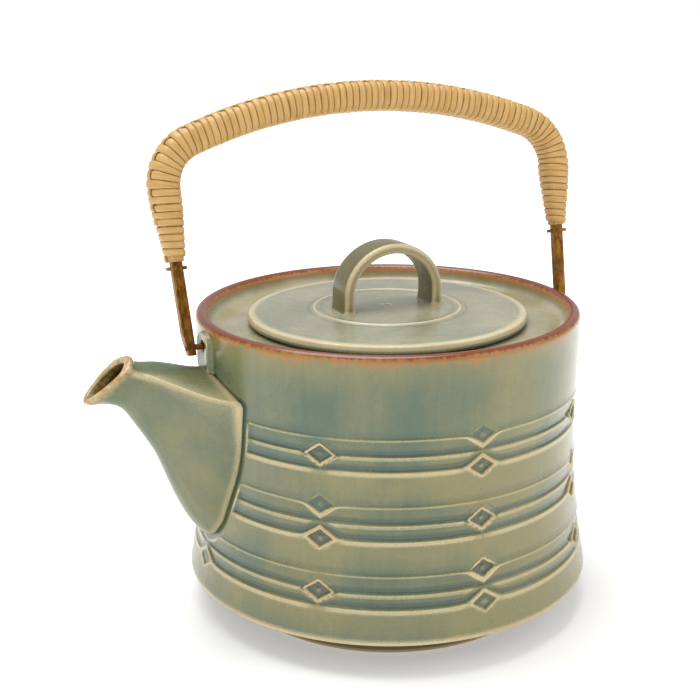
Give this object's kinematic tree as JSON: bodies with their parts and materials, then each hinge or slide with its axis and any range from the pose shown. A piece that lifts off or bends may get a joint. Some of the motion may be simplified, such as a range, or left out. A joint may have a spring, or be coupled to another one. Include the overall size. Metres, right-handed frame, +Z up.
{
  "type": "lidded teapot",
  "caption": "Glazed stoneware teapot with a short spout, a drop-in lid with a strap handle, and a cane-bound brass bail that swings on two pins.",
  "frame": {"origin": "centre of the foot ring, on the surface the pot stands on", "axes": "+Z up, the spout towards -X, the bail's hinge pins along X, +Y away from the side with the spout on the left"},
  "size_m": [0.2144, 0.1622, 0.2046],
  "materials": {
    "pot_glaze": "satin sage-green glaze over stoneware, brown at the lip",
    "lid_glaze": "satin grey-green glaze",
    "brass": "dark, worn",
    "cane": "split cane, satin",
    "core_cane": "raw cane"
  },
  "bodies": {
    "pot": {"pot_body": "pot_glaze", "spout": "pot_glaze", "ear_spout": "pot_glaze", "ear_back": "pot_glaze"},
    "lid": {"lid": "lid_glaze", "lid_handle": "lid_glaze"},
    "bail": {"bail_bar": "brass", "pivot_pin_spout": "brass", "pivot_pin_back": "brass", "collar_spout": "brass", "collar_back": "brass", "half_cane_front": "core_cane", "half_cane_rear": "core_cane", "cane_binding": "cane", "cane_runner": "cane"}
  },
  "joints": [
    {"name": "lid_lift", "type": "slide", "parent": "pot", "child": "lid", "axis": [0, 0, 1], "range_m": [0, 0.04]},
    {"name": "bail_swing", "type": "hinge", "parent": "pot", "child": "bail", "pos_m": [0, 0, 0.1112], "axis": [1, 0, 0], "range_deg": [-97, 123]}
  ]
}
